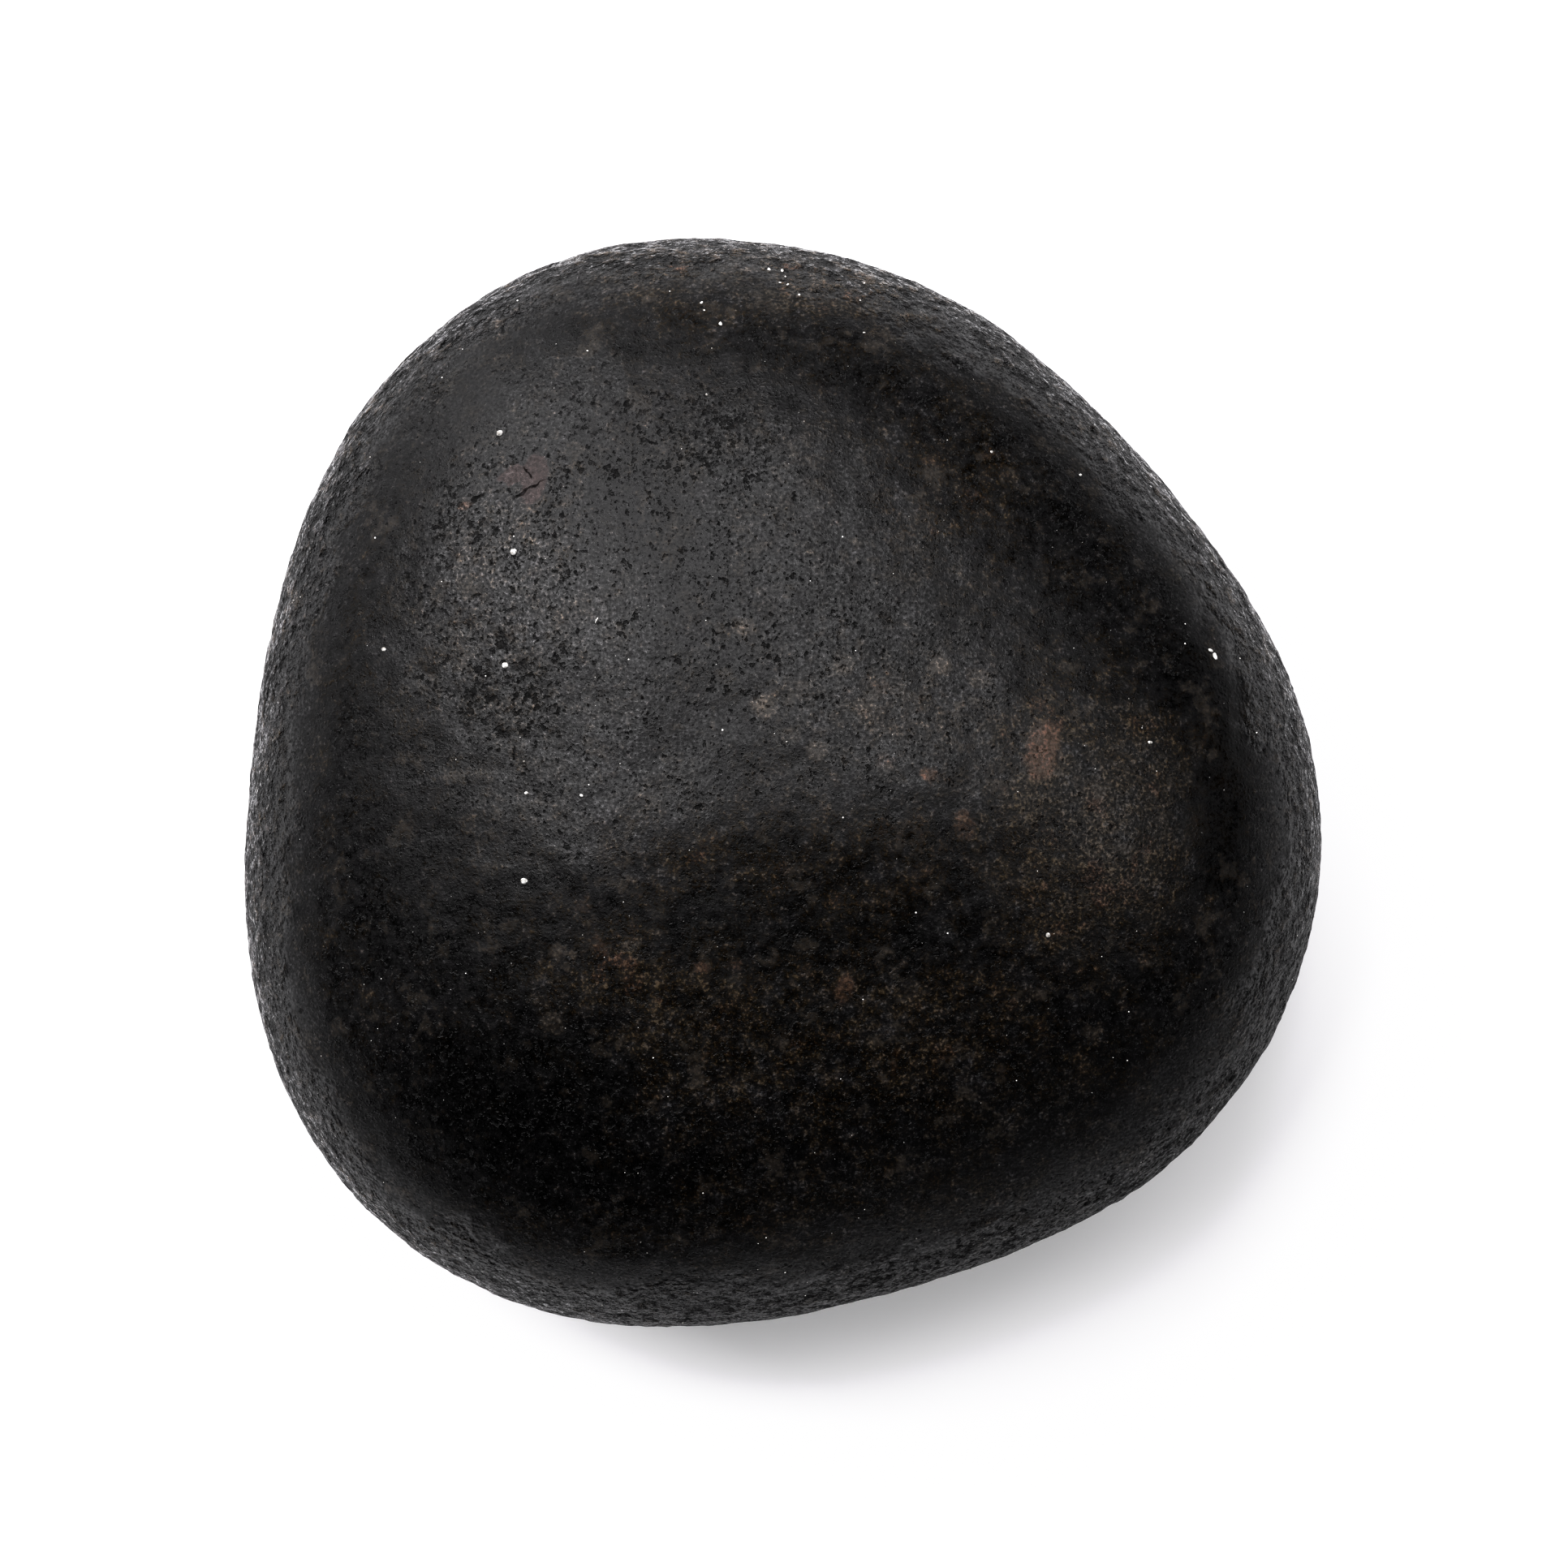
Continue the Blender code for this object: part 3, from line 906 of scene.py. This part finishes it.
def mark_points(grains):
    """Loose points above the crown, each with the size and turn of the grain that lands there."""
    mesh = bpy.data.meshes.new("grain_marks")
    mesh.from_pydata([(grain[0] * MM, grain[1] * MM, ABOVE_CROWN) for grain in grains], [], [])
    spreads = mesh.attributes.new("spread", "FLOAT_VECTOR", "POINT")
    headings = mesh.attributes.new("heading", "FLOAT_VECTOR", "POINT")
    for spread, heading, (_, _, length, width, turn) in zip(spreads.data, headings.data, grains):
        spread.vector = (length * MM, width * MM, min(length, width) * MM)
        heading.vector = (0.0, 0.0, math.radians(turn))
    marks = bpy.data.objects.new("grain_marks", mesh)
    bpy.context.scene.collection.objects.link(marks)
    return marks


class SurfaceSettings(bpy.types.PropertyGroup):
    """Sizes and colours of the stone's surface."""

    faces_per_edge: IntProperty(
        name="Faces per edge", description="Faces along each edge of the blown-up cube",
        default=128, min=16, max=128)
    smoothing: IntProperty(
        name="Smoothing", description="Passes that smooth the form's small facets away",
        default=24, min=0, max=60)
    lump_size: FloatProperty(
        name="Lump size", description="Distance between the low lumps",
        default=9 * MM, unit="LENGTH")
    lump_rise: FloatProperty(
        name="Lump rise", description="Height of the low lumps",
        default=0.5 * MM, unit="LENGTH")
    grain_size: FloatProperty(
        name="Grain size", description="Distance between the coarse grains",
        default=1.6 * MM, unit="LENGTH")
    grain_rise: FloatProperty(
        name="Grain rise", description="Height of the coarse grains on the battered sides",
        default=0.42 * MM, unit="LENGTH")
    pit_size: FloatProperty(
        name="Pit size", description="Width of the larger pits",
        default=1.7 * MM, unit="LENGTH")
    pit_depth: FloatProperty(
        name="Pit depth", description="Depth of the larger pits",
        default=0.14 * MM, unit="LENGTH")
    gloss: FloatProperty(
        name="Roughness", description="Roughness between the pits",
        default=0.4, min=0.1, max=1.0, subtype="FACTOR")
    sheen: FloatProperty(
        name="Specular level", description="Strength of the satin sheen",
        default=0.4, min=0.0, max=1.0, subtype="FACTOR")
    relief: FloatProperty(
        name="Fine relief", description="Depth of the fine pits and grain",
        default=0.08 * MM, unit="LENGTH")
    grain_contrast: FloatProperty(
        name="Grain contrast", description="Spread of lightness from grain to grain",
        default=10.0, min=0.0)
    mottle_contrast: FloatProperty(
        name="Mottle contrast", description="Spread of lightness over small mottles",
        default=5.0, min=0.0)
    blotch_contrast: FloatProperty(
        name="Blotch contrast", description="Spread of lightness over broad blotches",
        default=3.5, min=0.0)
    grain_relief: FloatProperty(
        name="Grain relief", description="Height of the grains beside the depth of the pits",
        default=0.45, min=0.0)
    mottle_relief: FloatProperty(
        name="Mottle relief", description="Height of the mottles beside the depth of the pits",
        default=0.35, min=0.0)
    side_relief: FloatProperty(
        name="Side relief", description="The same height on the battered sides",
        default=40.0, min=0.0)
    # Below 0 on the painted shade zones this lift darkens them as painted shade.
    zone_lift: FloatProperty(
        name="Weathered lift", description="How much paler the weathered zones are",
        default=1.1, min=0.0)
    grey_color: FloatVectorProperty(
        name="Grey grain", description="Colour of an average fresh grain",
        default=(0.0036, 0.0035, 0.0036, 1.0), size=4, subtype="COLOR", min=0.0, max=1.0)
    brown_color: FloatVectorProperty(
        name="Brown grain", description="Colour of an average weathered grain",
        default=(0.0042, 0.0032, 0.0021, 1.0), size=4, subtype="COLOR", min=0.0, max=1.0)
    tan_color: FloatVectorProperty(
        name="Tan grain", description="Colour of the tan feldspar",
        default=(0.0056, 0.0048, 0.0040, 1.0), size=4, subtype="COLOR", min=0.0, max=1.0)
    rust_color: FloatVectorProperty(
        name="Rust", description="Colour of the rusty stains",
        default=(0.0058, 0.0037, 0.0026, 1.0), size=4, subtype="COLOR", min=0.0, max=1.0)
    crystal_color: FloatVectorProperty(
        name="Pink crystal", description="Colour of the one pinkish crystal",
        default=(0.0078, 0.0042, 0.0037, 1.0), size=4, subtype="COLOR", min=0.0, max=1.0)
    # Painted shade at the bottom of the pits and in the cracks.
    painted_pit_shade: FloatVectorProperty(
        name="Pit", description="Colour at the bottom of the pits",
        default=(0.001, 0.0009, 0.0008, 1.0), size=4, subtype="COLOR", min=0.0, max=1.0)


class GrainSettings(bpy.types.PropertyGroup):
    """Sizes and colours of the white grains."""

    smallest: FloatProperty(
        name="Smallest", description="Width of the smallest scattered grain",
        default=0.07 * MM, unit="LENGTH")
    largest: FloatProperty(
        name="Largest", description="Width of the largest scattered grain",
        default=0.22 * MM, unit="LENGTH")
    per_square_metre: FloatProperty(
        name="Per square metre", description="Scattered grains on a square metre of stone",
        default=26000.0, min=0.0)
    seed: IntProperty(name="Seed", description="Seed of the scatter", default=11)
    color: FloatVectorProperty(
        name="Colour", description="Chalky white of the grains",
        default=(0.8, 0.8, 0.78, 1.0), size=4, subtype="COLOR", min=0.0, max=1.0)
    shade_color: FloatVectorProperty(
        name="Shade", description="Greyer colour that clouds the white",
        default=(0.3, 0.29, 0.27, 1.0), size=4, subtype="COLOR", min=0.0, max=1.0)


class StageSettings(bpy.types.PropertyGroup):
    """Floor, light and camera of the stage."""

    floor_color: FloatVectorProperty(
        name="Floor", description="Colour of the pale floor",
        default=(0.82, 0.82, 0.83, 1.0), size=4, subtype="COLOR", min=0.0, max=1.0)
    floor_glow: FloatProperty(
        name="Floor glow", description="Even light given off by the floor",
        default=0.14, min=0.0)
    floor_width: FloatProperty(
        name="Floor width", description="Width of the square floor",
        default=6.0, unit="LENGTH")
    room_light: FloatProperty(
        name="Room light", description="Faint light from all round", default=0.0, min=0.0)
    lamp_strength: FloatProperty(
        name="Lamp strength", description="Strength of all softboxes together",
        default=1.0, min=0.0, subtype="FACTOR")
    lens: FloatProperty(
        name="Lens", description="Focal length in millimetres", default=150.0, min=20.0)
    view_width: FloatProperty(
        name="View width", description="Width that the camera sees at the stone's widest line",
        default=143.5 * MM, unit="LENGTH")


class HAMMERSTONE_OT_stone_surface(bpy.types.Operator):
    """Lay the fine, pitted surface over the frame's stone."""

    bl_idname = "hammerstone.stone_surface"
    bl_label = "Stone surface"

    def execute(self, context):
        look = context.scene.hammerstone_surface
        form = smooth_form()
        surface = make_piece("hammerstone_surface", surface_tree(), {
            "Form": form,
            "Middle": STONE_MIDDLE,
            "Faces per edge": look.faces_per_edge,
            "Smoothing": look.smoothing,
            "Lump size": look.lump_size,
            "Lump rise": look.lump_rise,
            "Grain size": look.grain_size,
            "Grain rise": look.grain_rise,
            "Pit size": look.pit_size,
            "Pit depth": look.pit_depth,
            "Material": stone_material(look),
        })
        bpy.data.objects.remove(form)
        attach(surface, "root")
        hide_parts(STONE_NODE)
        return {"FINISHED"}


class HAMMERSTONE_OT_white_grains(bpy.types.Operator):
    """Bed the white grains in the stone's surface."""

    bl_idname = "hammerstone.white_grains"
    bl_label = "White grains"

    def execute(self, context):
        look = context.scene.hammerstone_grains
        stone = bpy.data.objects.get("hammerstone_surface")
        if stone is None:
            raise RuntimeError("build the stone's surface before its grains")
        marks = mark_points(WHITE_GRAINS)
        grains = make_piece("white_grains", grains_tree(), {
            "Stone": stone,
            "Marks": marks,
            "Smallest": look.smallest,
            "Largest": look.largest,
            "Per square metre": look.per_square_metre,
            "Seed": look.seed,
            "Material": white_material(look),
        })
        bpy.data.objects.remove(marks)
        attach(grains, "root")
        return {"FINISHED"}


class HAMMERSTONE_OT_stage(bpy.types.Operator):
    """Set up the floor, the softboxes, the camera and the tone of the picture."""

    bl_idname = "hammerstone.stage"
    bl_label = "Stage"

    def execute(self, context):
        stage = context.scene.hammerstone_stage
        lay_floor(stage)
        for softbox in SOFTBOXES:
            hang_softbox(stage, *softbox)
        set_camera(stage)
        set_tone(context.scene)
        world = bpy.data.worlds.new("room")
        world.use_nodes = True
        background = world.node_tree.nodes["Background"]
        background.inputs["Color"].default_value = (1.0, 1.0, 1.0, 1.0)
        background.inputs["Strength"].default_value = stage.room_light
        context.scene.world = world
        return {"FINISHED"}


def lay_floor(stage):
    """Large pale floor at the height of the stone's resting flat."""
    half = stage.floor_width / 2
    mesh = bpy.data.meshes.new("floor")
    mesh.from_pydata(
        [(-half, -half, 0.0), (half, -half, 0.0), (half, half, 0.0), (-half, half, 0.0)],
        [], [(0, 1, 2, 3)])
    material = bpy.data.materials.new("pale_paper")
    material.use_nodes = True
    shader = material.node_tree.nodes["Principled BSDF"]
    shader.inputs["Base Color"].default_value = stage.floor_color
    shader.inputs["Roughness"].default_value = 0.9
    shader.inputs["Specular IOR Level"].default_value = 0.0
    shader.inputs["Emission Color"].default_value = (1.0, 1.0, 1.0, 1.0)
    shader.inputs["Emission Strength"].default_value = stage.floor_glow
    mesh.materials.append(material)
    floor = bpy.data.objects.new("floor", mesh)
    bpy.context.scene.collection.objects.link(floor)


def hang_softbox(stage, name, heading, elevation, distance, width, height, radiance):
    """Rectangular softbox that faces the stone."""
    light = bpy.data.lights.new(name, "AREA")
    light.shape = "RECTANGLE"
    light.size = width
    light.size_y = height
    light.color = LAMP_COLOR
    light.energy = radiance * math.pi * width * height * stage.lamp_strength
    softbox = bpy.data.objects.new(name, light)
    turn = math.radians(heading)
    lift = math.radians(elevation)
    away = Vector((math.cos(lift) * math.cos(turn), math.cos(lift) * math.sin(turn),
                   math.sin(lift)))
    softbox.location = STONE_MIDDLE + away * distance
    softbox.rotation_euler = away.to_track_quat("Z", "Y").to_euler()
    softbox.visible_camera = False
    bpy.context.scene.collection.objects.link(softbox)


def set_camera(stage):
    """Camera that looks straight down on the crown."""
    data = bpy.data.cameras.new("camera")
    data.sensor_width = 36.0
    data.lens = stage.lens
    distance = stage.view_width * data.lens / data.sensor_width
    camera = bpy.data.objects.new("camera", data)
    camera.location = (0.15 * MM, -0.04 * MM, STONE_MIDDLE.z + distance)
    bpy.context.scene.collection.objects.link(camera)
    bpy.context.scene.camera = camera


def set_tone(scene):
    """Plain colours, with blacks kept deep and the pale floor lifted to white."""
    view = scene.view_settings
    view.view_transform = "Standard"
    view.use_curve_mapping = True
    curve = view.curve_mapping.curves[3]
    for level, shown in TONE_CURVE:
        curve.points.new(level, shown)
    curve.points[-1].location = (0.5, 1.0)
    view.curve_mapping.update()


class HAMMERSTONE_PT_panel(bpy.types.Panel):
    """Sidebar panel with the sizes and colours of the hammerstone."""

    bl_label = "Hammerstone"
    bl_space_type = "VIEW_3D"
    bl_region_type = "UI"
    bl_category = "Hammerstone"

    def draw(self, context):
        scene = context.scene
        for operator, settings in (
                (HAMMERSTONE_OT_stone_surface, scene.hammerstone_surface),
                (HAMMERSTONE_OT_white_grains, scene.hammerstone_grains),
                (HAMMERSTONE_OT_stage, scene.hammerstone_stage)):
            box = self.layout.box()
            box.operator(operator.bl_idname)
            for name in settings.bl_rna.properties.keys():
                if name not in ("rna_type", "name"):
                    box.prop(settings, name)


CLASSES = (
    SurfaceSettings,
    GrainSettings,
    StageSettings,
    HAMMERSTONE_OT_stone_surface,
    HAMMERSTONE_OT_white_grains,
    HAMMERSTONE_OT_stage,
    HAMMERSTONE_PT_panel,
)


def register():
    """Register every class and hang the settings on the scene."""
    for cls in CLASSES:
        bpy.utils.register_class(cls)
    bpy.types.Scene.hammerstone_surface = PointerProperty(type=SurfaceSettings)
    bpy.types.Scene.hammerstone_grains = PointerProperty(type=GrainSettings)
    bpy.types.Scene.hammerstone_stage = PointerProperty(type=StageSettings)


def unregister():
    """Undo register."""
    del bpy.types.Scene.hammerstone_stage
    del bpy.types.Scene.hammerstone_grains
    del bpy.types.Scene.hammerstone_surface
    for cls in reversed(CLASSES):
        bpy.utils.unregister_class(cls)


def main():
    """Build every piece and the stage."""
    register()
    bpy.ops.hammerstone.stone_surface()
    bpy.ops.hammerstone.white_grains()
    bpy.ops.hammerstone.stage()


if __name__ == "__main__":
    main()
